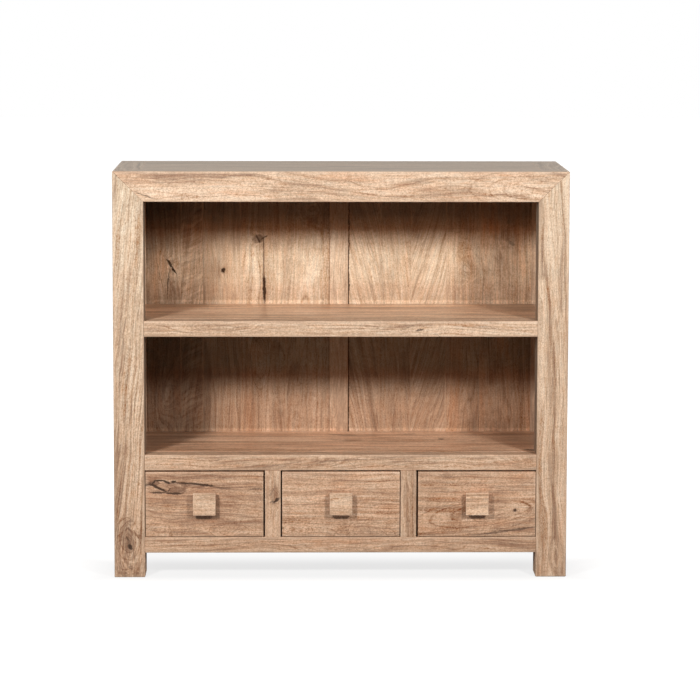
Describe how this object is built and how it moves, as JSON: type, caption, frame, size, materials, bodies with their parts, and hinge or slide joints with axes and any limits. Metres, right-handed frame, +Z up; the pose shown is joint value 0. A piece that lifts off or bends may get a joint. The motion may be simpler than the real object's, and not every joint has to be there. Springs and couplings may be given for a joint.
{
  "type": "low bookcase with drawers",
  "caption": "Low solid-wood bookcase with square posts, a mitred top frame, open bays over a shelf and a deck, and a row of inset drawers with square knobs under them.",
  "frame": {"origin": "on the floor, under the middle of the bounding box of the closed piece, knobs included", "axes": "+X to the right as seen from the front, +Y towards the back, +Z up; the drawers face -Y"},
  "size_m": [1, 0.368, 0.9],
  "materials": {
    "frame_wood": "clear satin",
    "panel_wood": "clear satin",
    "inner_wood": "planed, unfinished",
    "drawer_wood": "planed, unfinished",
    "drawer_bottom": "plywood, sanded",
    "knob_wood": "clear satin",
    "screw_steel": "zinc plated"
  },
  "bodies": {
    "carcase": {"front_post_left": "frame_wood", "front_post_right": "frame_wood", "rear_post_left": "frame_wood", "rear_post_right": "frame_wood", "top_front_rail": "frame_wood", "top_rear_rail": "frame_wood", "top_side_rail_left": "frame_wood", "top_side_rail_right": "frame_wood", "top_panel": "panel_wood", "side_panel_left": "panel_wood", "side_panel_right": "panel_wood", "side_bottom_rail_left": "frame_wood", "side_bottom_rail_right": "frame_wood", "back_panel_left": "panel_wood", "back_panel_right": "panel_wood", "back_muntin": "panel_wood", "rear_bottom_rail": "frame_wood", "shelf_board": "panel_wood", "shelf_front_rail": "frame_wood", "shelf_rear_cleat": "inner_wood", "shelf_side_cleat_left": "inner_wood", "shelf_side_cleat_right": "inner_wood", "deck_board": "panel_wood", "deck_front_rail": "frame_wood", "deck_rear_cleat": "inner_wood", "bottom_front_rail": "frame_wood", "drawer_divider_left": "frame_wood", "drawer_divider_right": "frame_wood", "drawer_runner_left_end": "inner_wood", "drawer_runner_left_divider": "inner_wood", "drawer_runner_right_divider": "inner_wood", "drawer_runner_right_end": "inner_wood", "drawer_kicker_left_end": "inner_wood", "drawer_kicker_left_divider": "inner_wood", "drawer_kicker_right_divider": "inner_wood", "drawer_kicker_right_end": "inner_wood", "drawer_stop_rail": "inner_wood"},
    "drawer_left": {"drawer_left_front": "frame_wood", "drawer_left_side_left": "drawer_wood", "drawer_left_side_right": "drawer_wood", "drawer_left_back": "drawer_wood", "drawer_left_bottom": "drawer_bottom", "drawer_left_knob": "knob_wood", "drawer_left_knob_screw": "screw_steel"},
    "drawer_middle": {"drawer_middle_front": "frame_wood", "drawer_middle_side_left": "drawer_wood", "drawer_middle_side_right": "drawer_wood", "drawer_middle_back": "drawer_wood", "drawer_middle_bottom": "drawer_bottom", "drawer_middle_knob": "knob_wood", "drawer_middle_knob_screw": "screw_steel"},
    "drawer_right": {"drawer_right_front": "frame_wood", "drawer_right_side_left": "drawer_wood", "drawer_right_side_right": "drawer_wood", "drawer_right_back": "drawer_wood", "drawer_right_bottom": "drawer_bottom", "drawer_right_knob": "knob_wood", "drawer_right_knob_screw": "screw_steel"}
  },
  "joints": [
    {"name": "drawer_left_slide", "type": "slide", "parent": "carcase", "child": "drawer_left", "axis": [0, -1, 0], "range_m": [0, 0.22]},
    {"name": "drawer_middle_slide", "type": "slide", "parent": "carcase", "child": "drawer_middle", "axis": [0, -1, 0], "range_m": [0, 0.22]},
    {"name": "drawer_right_slide", "type": "slide", "parent": "carcase", "child": "drawer_right", "axis": [0, -1, 0], "range_m": [0, 0.22]}
  ]
}
